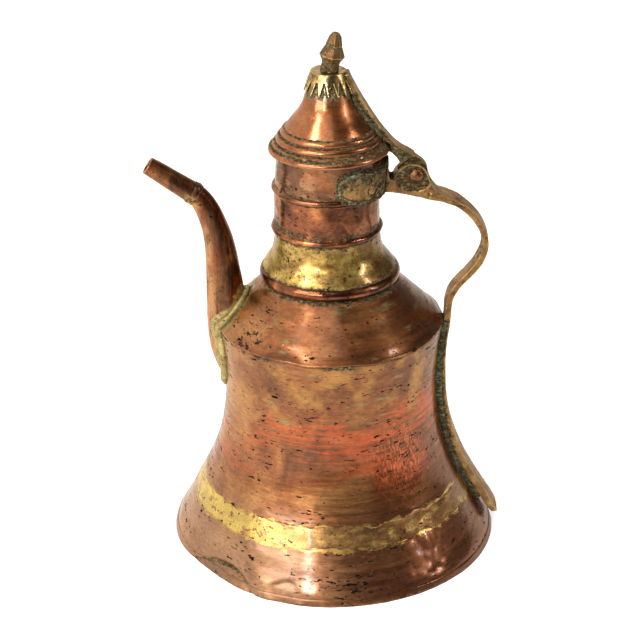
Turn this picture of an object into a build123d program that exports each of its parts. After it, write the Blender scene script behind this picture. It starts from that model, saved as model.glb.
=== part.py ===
from build123d import *
from math import cos, hypot, pi, radians, sin
import os

# A long-spouted copper coffee pot with a hinged lid. Millimetres, +Z up.
# The origin is the centre of the face it stands on. The spout points along -X
# and the handle along +X. A section is drawn as (distance from the pot's axis,
# height) and turned about Z.

os.makedirs("parts", exist_ok=True)

SHEET = 1.5             # copper sheet of the body
THIN_SHEET = 1.2        # sheet of the base and the lid

# Body: the bell's outer line, foot to ridge, then the cone of the shoulder
RIDGE_R = 59.0
RIDGE_Z = 124.2
BELL_LINE = [(88.0, -3.5), (77.6, 18.7), (62.9, 48.6), (56.5, 77.0), (56.1, 100.0), (RIDGE_R, RIDGE_Z)]
SHOULDER_TOP_R = 32.2
SHOULDER_SLOPE = 0.965  # fall per unit of radius
HEM_TOP = 3.6
SEAM_LOW, SEAM_HIGH = 25.5, 35.5
RIDGE_SEAT = RIDGE_Z - 1.0

# Collar and neck
RING_TOP = 154.8
COLLAR_SHEET = 1.3
NECK_R = 27.2
NECK_SHEET = 1.4
COLLAR_TOP = 175.1
SPIGOT_TOP = 181.0      # the collar reaches inside the neck up to here
NECK_TOP = 218.8
NECK_BEADS = [(COLLAR_TOP, 178.7), (197.2, 200.6)]
BEAD_HEIGHT = 1.6

# Spout: centre line with outer radii, from the stem's upper end to inside the body
STEM_LINE = [
    (-69.2, 194.9, 5.3), (-64.9, 190.0, 5.9), (-61.6, 183.4, 6.4), (-58.6, 174.0, 7.1),
    (-56.6, 162.0, 8.2), (-55.4, 148.0, 9.3), (-54.6, 134.0, 10.3), (-53.6, 121.0, 11.1),
    (-51.8, 108.5, 11.3), (-49.0, 97.0, 10.0), (-46.5, 88.0, 7.5),
]
STEM_SHEET = 1.6
SPIGOT_R, SPIGOT_LENGTH, SPIGOT_BORE_R = 4.6, 6.0, 3.6
TIP_END = (-92.5, 210.7)
TIP_END_R, TIP_END_BORE_R = 4.6, 3.6
TIP_FOOT_R = 5.7
FILLET_WIDTH = 1.7      # solder standing beside the spout's foot
FILLET_HEIGHT = 1.6

# Handle, clasp and hinge
PIN_X, PIN_Z = 44.5, 205.5
PIN_R = 2.3
KNUCKLE_BORE_R = PIN_R + 0.08
CHEEK_HALF_WIDTH = 6.0
SLOT_HALF_WIDTH = 3.0
SLOT_R = 9.3
KNUCKLE_HALF_WIDTH = 2.8
KNUCKLE_R = 5.5
STRAP_HALF_WIDTH = 5.5
STRAP_THICKNESS = 3.4
HANDLE_LINE = [
    (88.8, 7.8), (81.4, 20.4), (73.0, 35.4), (62.7, 63.4), (59.3, 90.0), (59.6, 112.0), (61.1, 124.5),
    (63.0, 137.6), (75.6, 153.8), (80.2, 167.0), (74.9, 181.0), (65.0, 189.7), (51.0, 194.4),
]
SOLDER_BED = 1.7        # half thickness of the solder under the handle's tail
HAIR = 0.01             # gap kept under the solder, too thin to see
CLASP_R = 29.7
RIVET_ANGLE = 43.0
RIVET_Z = 203.5
RIVET_R = 1.6
RIVET_START = 22.0      # distance from the axis where a rivet is drawn from

# Lid
LID_TOP = 259.2
LID_LINE = [
    (7.6, LID_TOP), (9.3, 255.8), (11.5, 249.8), (13.6, 243.2), (18.0, 236.6), (22.6, 230.5),
]
LID_ROLLS = [
    ((22.9, 230.3), (24.5, 228.8), (24.1, 227.2)),
    ((24.7, 227.0), (27.0, 225.4), (26.8, 223.8)),
    ((27.4, 223.5), (30.9, 220.9), (30.9, NECK_TOP)),
]
LID_STRAP_HALF_WIDTH = 4.8
CROWN_TOP = 260.4
CROWN_SHEET = 1.0
CROWN_TEETH = 16
TANG_R = 1.6
FINIAL_X = 0.6          # the knob's foot is a little off centre
FINIAL_LEAN = 10.5
FINIAL_SIDES = 8
FINIAL_LEVELS = [       # distance up the knob, radius of the eight-sided section
    (3.0, 4.3), (4.8, 4.8), (7.6, 6.5), (12.4, 4.4), (12.7, 4.0), (13.1, 4.3), (17.5, 3.1), (19.4, 1.9),
]


def face_of(*edges):
    """A flat face inside a closed run of edges, drawn as (radius or x, height)."""
    return make_face(Curve() + list(edges))


def turned(face):
    """A section turned about the pot's axis."""
    return revolve(Plane.XZ * face, Axis.Z)


def side_slab(face, half_width):
    """A side outline made solid to both sides of the pot's middle plane."""
    return extrude(Plane.XZ * face, half_width, both=True)


def band(low, high, reach=120):
    """The section of a disc between two heights, out from the axis as far as reach."""
    return face_of(Polyline((0, low), (reach, low), (reach, high), (0, high), close=True))


def shifted(points, distance):
    """The points of a line moved sideways, to its left when distance is positive."""
    moved = []
    last = len(points) - 1
    for i, (x, z) in enumerate(points):
        x0, z0 = points[max(i - 1, 0)]
        x1, z1 = points[min(i + 1, last)]
        run = hypot(x1 - x0, z1 - z0)
        moved.append((x - distance * (z1 - z0) / run, z + distance * (x1 - x0) / run))
    return moved


def strip(points, half_thickness):
    """The side outline of a bar of even thickness along a smooth line."""
    left = Spline(shifted(points, half_thickness))
    right = Spline(shifted(points, -half_thickness))
    return face_of(left, right, Line(left @ 0, right @ 0), Line(left @ 1, right @ 1))


def cylinder_along_y(x, z, radius, half_length):
    """A cylinder across the pot, such as a pin or the hole for one."""
    return side_slab(Pos(x, z) * Circle(radius), half_length)


def save(shape, node):
    """Writes one piece to its own file."""
    shape.label = node
    export_step(shape, f"parts/{node}.step")


# ---- Body ------------------------------------------------------------------

def shoulder_z(radius, lift=0.0):
    """Height of the shoulder's outer cone at a radius."""
    return RIDGE_Z + lift + (RIDGE_R - radius) * SHOULDER_SLOPE


def bell_fill(grow=0.0):
    """Section of everything inside the bell's outer line, grown or shrunk."""
    line = Spline(shifted(BELL_LINE, -grow))
    foot, ridge = line @ 0, line @ 1
    return face_of(line, Polyline((ridge.X, ridge.Y), (0, ridge.Y), (0, foot.Y), (foot.X, foot.Y)))


def shoulder_fill(grow=0.0):
    """Section of everything under the shoulder's outer cone, down to the ridge seat."""
    lift = grow * hypot(1, SHOULDER_SLOPE)
    rim = RIDGE_R + grow
    return face_of(Polyline(
        (0, RIDGE_SEAT), (rim - 0.3, RIDGE_SEAT), (rim, RIDGE_Z - 0.3), (rim - 0.1, RIDGE_Z + 0.3),
        (rim - 0.8, shoulder_z(rim - 0.8, lift)), (SHOULDER_TOP_R, shoulder_z(SHOULDER_TOP_R, lift)),
        (0, shoulder_z(SHOULDER_TOP_R, lift)), close=True))


def pot_fill(grow=0.0):
    """The solid space inside the body's outer surface."""
    return turned(bell_fill(grow) & band(0, RIDGE_SEAT)) + turned(shoulder_fill(grow))


def bell_slice(low, high):
    """The bell's sheet between two heights."""
    return turned((bell_fill() & band(low, high)) - bell_fill(-SHEET))


def base_plate():
    """A disc whose edge is folded up round the foot of the bell."""
    hem = bell_fill(THIN_SHEET) & band(0, HEM_TOP)
    return turned(hem - (bell_fill() & band(THIN_SHEET, RIDGE_SEAT)))


def shoulder():
    """The conical top of the body, seated on the bell's upper edge."""
    lift = -SHEET * hypot(1, SHOULDER_SLOPE)
    bend_r, top_r = RIDGE_R - 2.2, SHOULDER_TOP_R - 1
    inside = face_of(Polyline(
        (0, 0), (bend_r, 0), (bend_r, shoulder_z(bend_r, lift)), (top_r, shoulder_z(top_r, lift)),
        (0, shoulder_z(top_r, lift)), close=True))
    mouth = band(0, NECK_TOP, SHOULDER_TOP_R)
    return turned(shoulder_fill() - inside - mouth)


def collar_ring():
    """A half-round copper ring seated on the cone, under the collar's foot."""
    top_r, outer_r = 34.6, 34.0
    bead = ThreePointArc((top_r, RING_TOP), (36.5, 152.2), (outer_r, shoulder_z(outer_r)))
    seat = Polyline(
        (outer_r, shoulder_z(outer_r)), (SHOULDER_TOP_R, shoulder_z(SHOULDER_TOP_R)),
        (SHOULDER_TOP_R, RING_TOP), (top_r, RING_TOP))
    return turned(face_of(bead, seat))


def collar():
    """A flared brass collar, with a straight end that enters the neck's foot."""
    flare = [
        (35.0, RING_TOP), (32.7, 158.2), (30.1, 161.8), (28.4, 166.0), (27.5, 170.5), (NECK_R, COLLAR_TOP),
    ]
    lining = shifted(flare, COLLAR_SHEET)
    bore = NECK_R - NECK_SHEET
    outer = Spline(flare)
    inner = Spline([(lining[0][0], RING_TOP), *lining[1:-1], (bore - COLLAR_SHEET, COLLAR_TOP)])
    spigot = Polyline(
        (NECK_R, COLLAR_TOP), (bore, COLLAR_TOP), (bore, SPIGOT_TOP), (bore - COLLAR_SHEET, SPIGOT_TOP),
        (bore - COLLAR_SHEET, COLLAR_TOP))
    return turned(face_of(outer, spigot, inner, Line(inner @ 0, outer @ 0)))


def neck_line(radius):
    """One wall line of the neck, with its two raised beads."""
    edges = []
    z = COLLAR_TOP
    for low, high in NECK_BEADS:
        if low > z:
            edges.append(Line((radius, z), (radius, low)))
        edges.append(ThreePointArc((radius, low), (radius + BEAD_HEIGHT, (low + high) / 2), (radius, high)))
        z = high
    edges.append(Line((radius, z), (radius, NECK_TOP)))
    return edges


def neck_fill():
    """The solid space inside the neck's outer surface."""
    return turned(face_of(*neck_line(NECK_R), Polyline(
        (NECK_R, NECK_TOP), (0, NECK_TOP), (0, COLLAR_TOP), (NECK_R, COLLAR_TOP))))


def neck():
    """The beaded tube of the neck."""
    lining = NECK_R - NECK_SHEET
    return turned(face_of(
        *neck_line(NECK_R), *neck_line(lining),
        Line((lining, NECK_TOP), (NECK_R, NECK_TOP)), Line((lining, COLLAR_TOP), (NECK_R, COLLAR_TOP))))


# ---- Spout -----------------------------------------------------------------

def stem_solid(grow=0.0):
    """The tapering, bent body of the spout's stem, grown or shrunk all round."""
    sections = []
    last = len(STEM_LINE) - 1
    for i, (x, z, radius) in enumerate(STEM_LINE):
        x0, z0, _ = STEM_LINE[max(i - 1, 0)]
        x1, z1, _ = STEM_LINE[min(i + 1, last)]
        heading = (x1 - x0, 0, z1 - z0)
        if i == 0:
            heading = (STEM_LINE[0][0] - TIP_END[0], 0, STEM_LINE[0][1] - TIP_END[1])
        plane = Plane(origin=(x, 0, z), x_dir=(0, 1, 0), z_dir=heading)
        sections.append(plane * Circle(radius + grow))
    return loft(sections)


def tip_plane():
    """The plane of the tip's foot, facing along the tip to its mouth."""
    x, z, _ = STEM_LINE[0]
    return Plane(origin=(x, 0, z), x_dir=(0, 1, 0), z_dir=(TIP_END[0] - x, 0, TIP_END[1] - z))


def turned_on_tip(face):
    """A section, drawn as (radius, distance from the tip's foot), turned about the tip."""
    return tip_plane() * revolve(Plane.XZ * face, Axis.Z)


def tip_length():
    return hypot(TIP_END[0] - STEM_LINE[0][0], TIP_END[1] - STEM_LINE[0][1])


def spout_stem(pot_space):
    """The stem: its foot cut to fit the body, its upper end drawn down to a spigot."""
    spigot = turned_on_tip(band(-0.5, SPIGOT_LENGTH, SPIGOT_R))
    bore = turned_on_tip(band(-6, SPIGOT_LENGTH + 1, SPIGOT_BORE_R))
    return (stem_solid() + spigot - bore - stem_solid(-STEM_SHEET)) - pot_space


def spout_tip():
    """A tapered tube sleeved over the stem's spigot."""
    length = tip_length()
    outline = Polyline(
        (SPIGOT_R, 0), (TIP_FOOT_R, 0), (TIP_END_R + 0.25, length - 3), (TIP_END_R, length),
        (TIP_END_BORE_R, length), (SPIGOT_BORE_R, SPIGOT_LENGTH), (SPIGOT_R, SPIGOT_LENGTH), close=True)
    return turned_on_tip(face_of(outline))


def spout_tip_braze():
    """A low ring of brass run round the joint between stem and tip."""
    side_r = TIP_FOOT_R - 0.1
    ring = ThreePointArc((side_r, 2.6), (side_r + 1.0, 0), (side_r, -2.4))
    section = face_of(ring, Polyline((side_r, -2.4), (SPIGOT_R, -2.4), (SPIGOT_R, 2.6), (side_r, 2.6)))
    return turned_on_tip(section) - stem_solid() - spout_tip()


def spout_foot_braze(pot_space):
    """The fillet of solder that holds the spout's foot to the shoulder and the wall."""
    return (stem_solid(FILLET_WIDTH) & pot_fill(FILLET_HEIGHT)) - stem_solid() - pot_space


# ---- Neck clasp, handle and hinge pin --------------------------------------

def rivet_planes():
    """One plane inside the neck for each rivet of the clasp, facing out along the rivet."""
    planes = []
    for side in (-1, 1):
        angle = radians(side * RIVET_ANGLE)
        heading = (cos(angle), sin(angle), 0)
        origin = (RIVET_START * heading[0], RIVET_START * heading[1], RIVET_Z)
        planes.append(Plane(origin=origin, z_dir=heading))
    return planes


def rivet_holes():
    """The holes for the clasp's two rivets."""
    holes = Part()
    for plane in rivet_planes():
        holes += extrude(plane * Circle(RIVET_R), 12)
    return holes


def neck_clasp():
    """Two brass leaves that wrap the back of the neck, in one curved plate."""
    leaf = face_of(
        Spline((31, 196.8), (23.3, 196.8), (12.3, 199.0), (5.4, 203.4)),
        Line((5.4, 203.4), (4.6, 209.4)),
        Spline((4.6, 209.4), (8.0, 213.2), (19.0, 213.4), (31, 213.2)),
        Line((31, 213.2), (31, 196.8)))
    plate = Pos(0, 0, 190) * Cylinder(CLASP_R, 30, align=(Align.CENTER, Align.CENTER, Align.MIN))
    return (plate & side_slab(leaf, 40)) - neck_fill() - rivet_holes()


def clasp_rivets():
    """Two rivets, domed outside and peened flat inside the neck."""
    lining = NECK_R - NECK_SHEET - RIVET_START
    dome = ThreePointArc((0, 9.0), (1.6, 8.6), (2.8, 7.5))
    shank = Polyline(
        (2.8, 7.5), (RIVET_R, 7.5), (RIVET_R, lining), (2.4, lining), (2.0, lining - 1.0), (0, lining - 1.0),
        (0, 9.0))
    rivet = revolve(Plane.XZ * face_of(dome, shank), Axis.Z)
    plates = Cylinder(CLASP_R, 20) - Cylinder(NECK_R - NECK_SHEET, 20)
    plates = Pos(0, 0, RIVET_Z) * plates - rivet_holes()
    return Compound(children=[plane * rivet - plates for plane in rivet_planes()])


def hinge_head():
    """The block behind the neck, with the two cheeks that hold the hinge pin."""
    outline = face_of(
        Spline(
            (59.5, 194.4), (54.6, 196.6), (51.4, 201.6), (48.8, 208.2), (41.5, 211.3), (36.0, 208.4),
            (33.4, 203.4)),
        Polyline((33.4, 203.4), (31.8, 203.2), (30.5, 206.0), (30.5, 212.6), (26.5, 212.6), (26.5, 196.6)),
        Spline((26.5, 196.6), (33.0, 196.4), (45.0, 193.8), (59.0, 190.9)),
        Line((59.0, 190.9), (59.5, 194.4)))
    head = side_slab(outline, CHEEK_HALF_WIDTH)
    slot = cylinder_along_y(PIN_X, PIN_Z, SLOT_R, SLOT_HALF_WIDTH)
    return head - slot


def tail_outline():
    """The handle seen from behind: even width, a wider tail and a round end."""
    side = STRAP_HALF_WIDTH
    tail = side + 2.6
    right = Spline((side, 90), (side + 0.9, 60), (tail, 30), (tail, 18))
    left = Spline((-side, 90), (-side - 0.9, 60), (-tail, 30), (-tail, 18))
    end = ThreePointArc((tail, 18), (0, 5.4), (-tail, 18))
    head = CHEEK_HALF_WIDTH + 1
    top = Polyline(
        (side, 90), (side, 188), (head, 190), (head, 220),
        (-head, 220), (-head, 190), (-side, 188), (-side, 90))
    return face_of(right, end, left, top)


def handle():
    """The strap handle, in one piece with the hinge head."""
    strap = side_slab(strip(HANDLE_LINE, STRAP_THICKNESS / 2), 9)
    strap = strap & extrude(Plane.YZ * tail_outline(), 110)
    slot = cylinder_along_y(PIN_X, PIN_Z, SLOT_R, SLOT_HALF_WIDTH)
    clasp = Pos(0, 0, 200) * Cylinder(CLASP_R, 60)
    body = (strap - slot) + hinge_head()
    return body - clasp - cylinder_along_y(PIN_X, PIN_Z, PIN_R, 10)


def tail_solder(handle_shape):
    """The bed of solder between the handle's tail and the wall."""
    line = [
        (79.9, 17.0), (71.1, 32.6), (65.5, 45.0), (60.2, 61.0),
        (57.5, 78.0), (56.8, 90.0), (57.1, 108.0), (58.9, 122.6),
    ]
    bed = side_slab(strip(line, SOLDER_BED), STRAP_HALF_WIDTH + 0.9)
    return bed - handle_shape - pot_fill(HAIR)


def hinge_pin():
    """The hinge pin, hammered to a low dome at each end."""
    shank = cylinder_along_y(PIN_X, PIN_Z, PIN_R, CHEEK_HALF_WIDTH)
    dome = face_of(
        ThreePointArc((0, 1.5), (2.2, 1.1), (3.3, 0)),
        Polyline((3.3, 0), (0, 0), (0, 1.5)))
    head = revolve(Plane.XZ * dome, Axis.Z)
    pin = shank
    for side in (-1, 1):
        plane = Plane(origin=(PIN_X, side * CHEEK_HALF_WIDTH, PIN_Z), z_dir=(0, side, 0))
        pin += plane * head
    return pin


# ---- Lid -------------------------------------------------------------------

def lid_profile(grow=0.0):
    """The edges of one line of the lid's section, from the top to the rim."""
    line = shifted(LID_LINE, grow)
    edges = [Spline(line)]
    here = line[-1]
    for start, middle, end in LID_ROLLS:
        begin = (start[0] + grow, start[1] + grow * 0.5)
        edges.append(Line(here, begin))
        here = (end[0] + grow, end[1])
        edges.append(ThreePointArc(begin, (middle[0] + grow, middle[1] + grow * 0.3), here))
    return edges, line[0], here


def lid_fill(grow=0.0):
    """The solid space inside the lid's outer surface, grown or shrunk."""
    edges, top, rim = lid_profile(grow)
    return turned(face_of(*edges, Polyline(rim, (0, rim[1]), (0, top[1]), top)))


def disc_above(z, thickness=20):
    """A wide disc standing on a height, used to cut off what is above it."""
    return Pos(0, 0, z) * Cylinder(20, thickness, align=(Align.CENTER, Align.CENTER, Align.MIN))


def lid_cone():
    """The raised lid: a cone over three rolled steps."""
    hollow = lid_fill(-THIN_SHEET) - disc_above(LID_TOP - THIN_SHEET)
    tang_hole = Pos(0, 0, LID_TOP) * Cylinder(TANG_R, 20)
    return lid_fill() - hollow - tang_hole


def lid_sleeve():
    """The ring that seats on the neck, with a tapered sleeve that enters it."""
    rim_r = LID_ROLLS[-1][2][0] - THIN_SHEET
    return turned(face_of(Polyline(
        (rim_r, NECK_TOP), (rim_r, NECK_TOP + THIN_SHEET), (24.0, NECK_TOP + THIN_SHEET),
        (21.8, NECK_TOP - 4.9), (23.0, NECK_TOP - 4.9), (25.2, NECK_TOP), close=True)))


def crown_fill(inset=0.0):
    """The solid space inside the crown's outer surface."""
    foot, hip, top = (12.8 - inset, 249.6), (10.8 - inset, 255.4), (8.9 - inset, CROWN_TOP - inset)
    return turned(face_of(Spline(top, hip, foot), Polyline(foot, (0, foot[1]), (0, top[1]), top)))


def lid_crown():
    """The brass cap on the lid's point, its edge cut into pointed teeth."""
    shell = crown_fill() - crown_fill(CROWN_SHEET) - Pos(0, 0, CROWN_TOP) * Cylinder(TANG_R, 20)
    half_gap = pi * 12.8 / CROWN_TEETH
    notch = face_of(Polyline((-half_gap, 249.0), (half_gap, 249.0), (0.4, 256.4), (-0.4, 256.4), close=True))
    for i in range(CROWN_TEETH):
        cutter = Rot(0, 0, (i + 0.5) * 360 / CROWN_TEETH) * extrude(Plane.YZ * notch, 20)
        shell = shell - cutter
    return shell - lid_fill()


def finial():
    """The knob: a leaning, eight-sided bud on a short stem, and the tang that holds it."""
    on_top = (Align.CENTER, Align.CENTER, Align.MIN)
    bud = Part()
    for (low, low_r), (high, high_r) in zip(FINIAL_LEVELS, FINIAL_LEVELS[1:]):
        bottom = Plane.XY.offset(low) * RegularPolygon(low_r, FINIAL_SIDES)
        top = Plane.XY.offset(high) * RegularPolygon(high_r, FINIAL_SIDES)
        bud += loft([bottom, top], ruled=True)
    stem = Pos(0, 0, -2) * Cone(4.9, 4.3, 6, align=on_top)
    knob = Pos(FINIAL_X, 0, CROWN_TOP) * Rot(0, FINIAL_LEAN, 0) * (bud + stem)
    below = Pos(0, 0, CROWN_TOP) * Cylinder(20, 20, align=(Align.CENTER, Align.CENTER, Align.MAX))
    washer_bottom = LID_TOP - 2 * THIN_SHEET
    tang = Pos(0, 0, washer_bottom) * Cylinder(TANG_R, CROWN_TOP - washer_bottom, align=on_top)
    peened = Pos(0, 0, washer_bottom - 0.9) * Cone(1.9, 2.5, 0.9, align=on_top)
    return (knob - below) + tang + peened


def finial_washer():
    """The washer under the lid's top, which the tang is peened over."""
    washer = Cylinder(4.2, THIN_SHEET, align=(Align.CENTER, Align.CENTER, Align.MAX))
    return Pos(0, 0, LID_TOP - THIN_SHEET) * (washer - Cylinder(TANG_R, 5))


def lid_strap_outline():
    """The lid's strap seen from the side, down to the knuckle round the pin."""
    knuckle_right, knuckle_left = (PIN_X + KNUCKLE_R, PIN_Z), (PIN_X - KNUCKLE_R, PIN_Z)
    outer = Spline(
        (10.4, LID_TOP), (14.8, 249.8), (18.5, 243.2), (23.9, 234.4), (29.7, 226.4), (36.2, 219.9),
        (41.2, 216.8), (45.8, 213.4), (49.2, 209.9), knuckle_right)
    knuckle = ThreePointArc(knuckle_right, (PIN_X, PIN_Z - KNUCKLE_R), knuckle_left)
    inner = Polyline(
        knuckle_left, (36.9, 210.2), (34.2, 215.0), (31.7, 217.6), (22.0, 222.0), (4.0, 256.4),
        (6.0, LID_TOP), (10.4, LID_TOP))
    return face_of(outer, knuckle, inner)


def lid_strap():
    """The strap down the back of the lid, narrowed to a knuckle between the cheeks."""
    outline = lid_strap_outline()
    clear_of_cheeks = cylinder_along_y(PIN_X, PIN_Z, SLOT_R + 0.3, 10)
    wide = side_slab(outline, LID_STRAP_HALF_WIDTH) - clear_of_cheeks
    narrow = side_slab(outline, KNUCKLE_HALF_WIDTH)
    strap = wide + narrow - cylinder_along_y(PIN_X, PIN_Z, KNUCKLE_BORE_R, 10)
    return strap - lid_fill(0.4) - crown_fill()


def strap_solder(strap_shape):
    """The bed of solder between the strap and the lid."""
    line = [(12.6, 248.4), (15.0, 242.0), (19.0, 236.0), (23.2, 230.4), (26.6, 226.4)]
    bed = side_slab(strip(line, 1.1), LID_STRAP_HALF_WIDTH + 0.9)
    return bed - strap_shape - lid_fill() - crown_fill()


def main():
    pot_space = pot_fill()
    opening = stem_solid(-STEM_SHEET - 0.6)
    handle_shape = handle()
    strap_shape = lid_strap()

    save(base_plate(), "base_plate")
    save(bell_slice(THIN_SHEET, SEAM_LOW), "foot_skirt")
    save(bell_slice(SEAM_LOW, SEAM_HIGH), "foot_seam_braze")
    save(bell_slice(SEAM_HIGH, RIDGE_SEAT) - opening, "body_wall")
    save(shoulder() - opening, "shoulder")
    save(collar_ring(), "collar_ring")
    save(collar(), "collar")
    save(neck() - rivet_holes(), "neck")

    save(spout_stem(pot_space), "spout_stem")
    save(spout_tip(), "spout_tip")
    save(spout_tip_braze(), "spout_tip_braze")
    save(spout_foot_braze(pot_space), "spout_foot_braze")

    save(neck_clasp(), "neck_clasp")
    save(clasp_rivets(), "clasp_rivets")
    save(handle_shape, "handle")
    save(tail_solder(handle_shape), "tail_solder")
    save(hinge_pin(), "hinge_pin")

    save(lid_cone(), "lid_cone")
    save(lid_sleeve(), "lid_sleeve")
    save(lid_crown(), "lid_crown")
    save(finial(), "finial")
    save(finial_washer(), "finial_washer")
    save(strap_shape, "lid_strap")
    save(strap_solder(strap_shape), "strap_solder")


if __name__ == "__main__":
    main()
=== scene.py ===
from math import ceil, cos, pi, radians, sin

import bpy
import numpy as np
from mathutils import Matrix, Vector
from mathutils.bvhtree import BVHTree


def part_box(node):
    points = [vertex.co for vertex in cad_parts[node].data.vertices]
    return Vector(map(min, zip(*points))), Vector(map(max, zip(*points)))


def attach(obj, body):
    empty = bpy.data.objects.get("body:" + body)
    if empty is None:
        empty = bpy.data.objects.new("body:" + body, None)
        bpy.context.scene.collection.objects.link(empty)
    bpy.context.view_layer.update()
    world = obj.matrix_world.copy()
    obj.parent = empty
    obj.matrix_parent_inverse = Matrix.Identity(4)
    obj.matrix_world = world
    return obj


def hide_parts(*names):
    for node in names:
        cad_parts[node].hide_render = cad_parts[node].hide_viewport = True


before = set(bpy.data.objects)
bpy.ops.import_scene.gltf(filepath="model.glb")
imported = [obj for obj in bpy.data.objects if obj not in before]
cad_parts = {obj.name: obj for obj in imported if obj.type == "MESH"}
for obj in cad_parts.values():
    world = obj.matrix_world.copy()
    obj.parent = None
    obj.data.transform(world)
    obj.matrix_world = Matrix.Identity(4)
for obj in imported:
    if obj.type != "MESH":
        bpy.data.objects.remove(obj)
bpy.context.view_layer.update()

# The looks of a hand-beaten copper coffee pot. Every visible piece is rebuilt from the
# outline of its CAD node, beaten, dented and worn, and painted by procedural metals.
# Shapes are worked in millimetres and written to Blender in metres.

MM = 0.001


def box_mm(node):
    """The lowest and highest corner of a CAD node, in millimetres."""
    low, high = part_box(node)
    return np.array(low) / MM, np.array(high) / MM


# Heights and places taken from the frame
SEAM_LOW, SEAM_HIGH = (corner[2] for corner in box_mm("foot_seam_braze"))
FOOT_R = box_mm("base_plate")[1][1]
HEM_TOP = box_mm("base_plate")[1][2]
WALL_TOP = box_mm("body_wall")[1][2]
NECK_TOP = box_mm("neck")[1][2]
RIDGE_Z = WALL_TOP + 1.0
LID_LOW = box_mm("lid_cone")[0][2]
LID_COVE = LID_LOW + 3.2
CROWN_LOW = box_mm("lid_crown")[0][2]
PIN = sum(box_mm("hinge_pin")) / 2
PIN_HALF_LENGTH = (box_mm("hinge_pin")[1] - box_mm("hinge_pin")[0])[1] / 2
FINIAL = box_mm("finial")
CLASP = box_mm("neck_clasp")

# Lid grooves that hold dirt: height and half width
LID_GROOVES = (
    (LID_LOW + 3.1, 1.05),
    (LID_LOW + 4.9, 0.5),
    (LID_LOW + 8.4, 0.5),
    (LID_LOW + 11.7, 0.45),
)

# Places of single marks
SCALE_SPOT = (10, -FOOT_R, 7)               # black scale low on the front
SPOUT_STAIN = (-42, -38, RIDGE_Z + 5)       # pits beside the spout's foot
SLEEVE = sum(box_mm("spout_tip_braze")) / 2 - (2, 6, 4)     # brass on the front of the spout's elbow
SCRATCHED_SPOT = (36, -50, 64)              # bare copper at the right of the bell
BOW_X, BOW_Z = PIN[0], 170                  # the middle of the handle's bow

# Solder was smeared on these round the spout's foot
TINNED_NODES = ("body_wall", "shoulder", "spout_stem")

# The beating and wear
FOLD_AZIMUTH = radians(-141)    # where the foot's rim has been knocked in
FOLD_WIDTH = 0.34
FOLD_DEPTH = 3.4
CREASE_HEIGHT = 6.4
CREASE_DEPTH = 3.8
DINT_AZIMUTH = radians(-108)    # a round dint beside the fold
SCUFF_AZIMUTH = radians(-50)    # a run of hard little blows up the flare's right side
NECK_LEAN = 1.3                 # the neck stands this far towards the spout


# ---- Noise -----------------------------------------------------------------

def lattice(cell, seed):
    """A repeatable number from 0 to 1 for each whole-numbered cell."""
    mixed = cell[..., 0] * 374761393 + cell[..., 1] * 668265263 + cell[..., 2] * 1440662683 + seed * 97531
    mixed = mixed & 0xFFFFFFFF
    mixed = ((mixed ^ (mixed >> 13)) * 1274126177) & 0xFFFFFFFF
    mixed = ((mixed ^ (mixed >> 15)) * 2246822519) & 0xFFFFFFFF
    return ((mixed ^ (mixed >> 16)) & 0xFFFFFF) / 0xFFFFFF


def waves(points, size, seed, octaves=1):
    """Smooth noise from -1 to 1 whose bumps are about size across."""
    total = np.zeros(len(points))
    for octave in range(octaves):
        place = points * 2 ** octave / size + octave * 17.3
        cell = np.floor(place).astype(np.int64)
        part = place - cell
        part = part * part * (3 - 2 * part)
        value = np.zeros(len(points))
        for corner in np.ndindex(2, 2, 2):
            share = np.prod(np.where(corner, part, 1 - part), axis=1)
            value += share * lattice(cell + np.array(corner), seed + octave)
        total += (2 * value - 1) / 2 ** octave
    return total


def dishes(points, size, seed):
    """Hammer marks about size across: 0 at each mark's middle, rising to about 1 on the ridges between."""
    place = points / size
    cell = np.floor(place).astype(np.int64)
    nearest = np.full(len(points), 9.0)
    for step in np.ndindex(3, 3, 3):
        other = cell + np.array(step) - 1
        mark = other + np.stack([lattice(other, seed + k) for k in range(3)], axis=1)
        nearest = np.minimum(nearest, ((place - mark) ** 2).sum(1))
    return np.minimum(nearest, 1.0)


def climb(value, low, high):
    """0 below low, 1 above high and smooth between."""
    part = np.clip((value - low) / (high - low), 0, 1)
    return part * part * (3 - 2 * part)


def bump(value, width):
    """1 where value is 0, falling away over width to both sides."""
    return np.exp(-(value / width) ** 2)


def from_axis(points):
    """Distance of each point from the pot's axis."""
    return np.hypot(points[:, 0], points[:, 1])


# ---- Shapes out of the CAD nodes ---------------------------------------------

def node_mesh(node):
    """Points in millimetres and triangles of a CAD node, with doubled points joined."""
    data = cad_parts[node].data
    data.calc_loop_triangles()
    places = np.empty(len(data.vertices) * 3)
    data.vertices.foreach_get("co", places)
    corners = np.empty(len(data.loop_triangles) * 3, int)
    data.loop_triangles.foreach_get("vertices", corners)
    points, joined = np.unique(np.round(places.reshape(-1, 3) / MM, 3), axis=0, return_inverse=True)
    corners = joined.reshape(-1)[corners].reshape(-1, 3)
    a, b, c = corners.T
    return points, corners[(a != b) & (b != c) & (c != a)]


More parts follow.
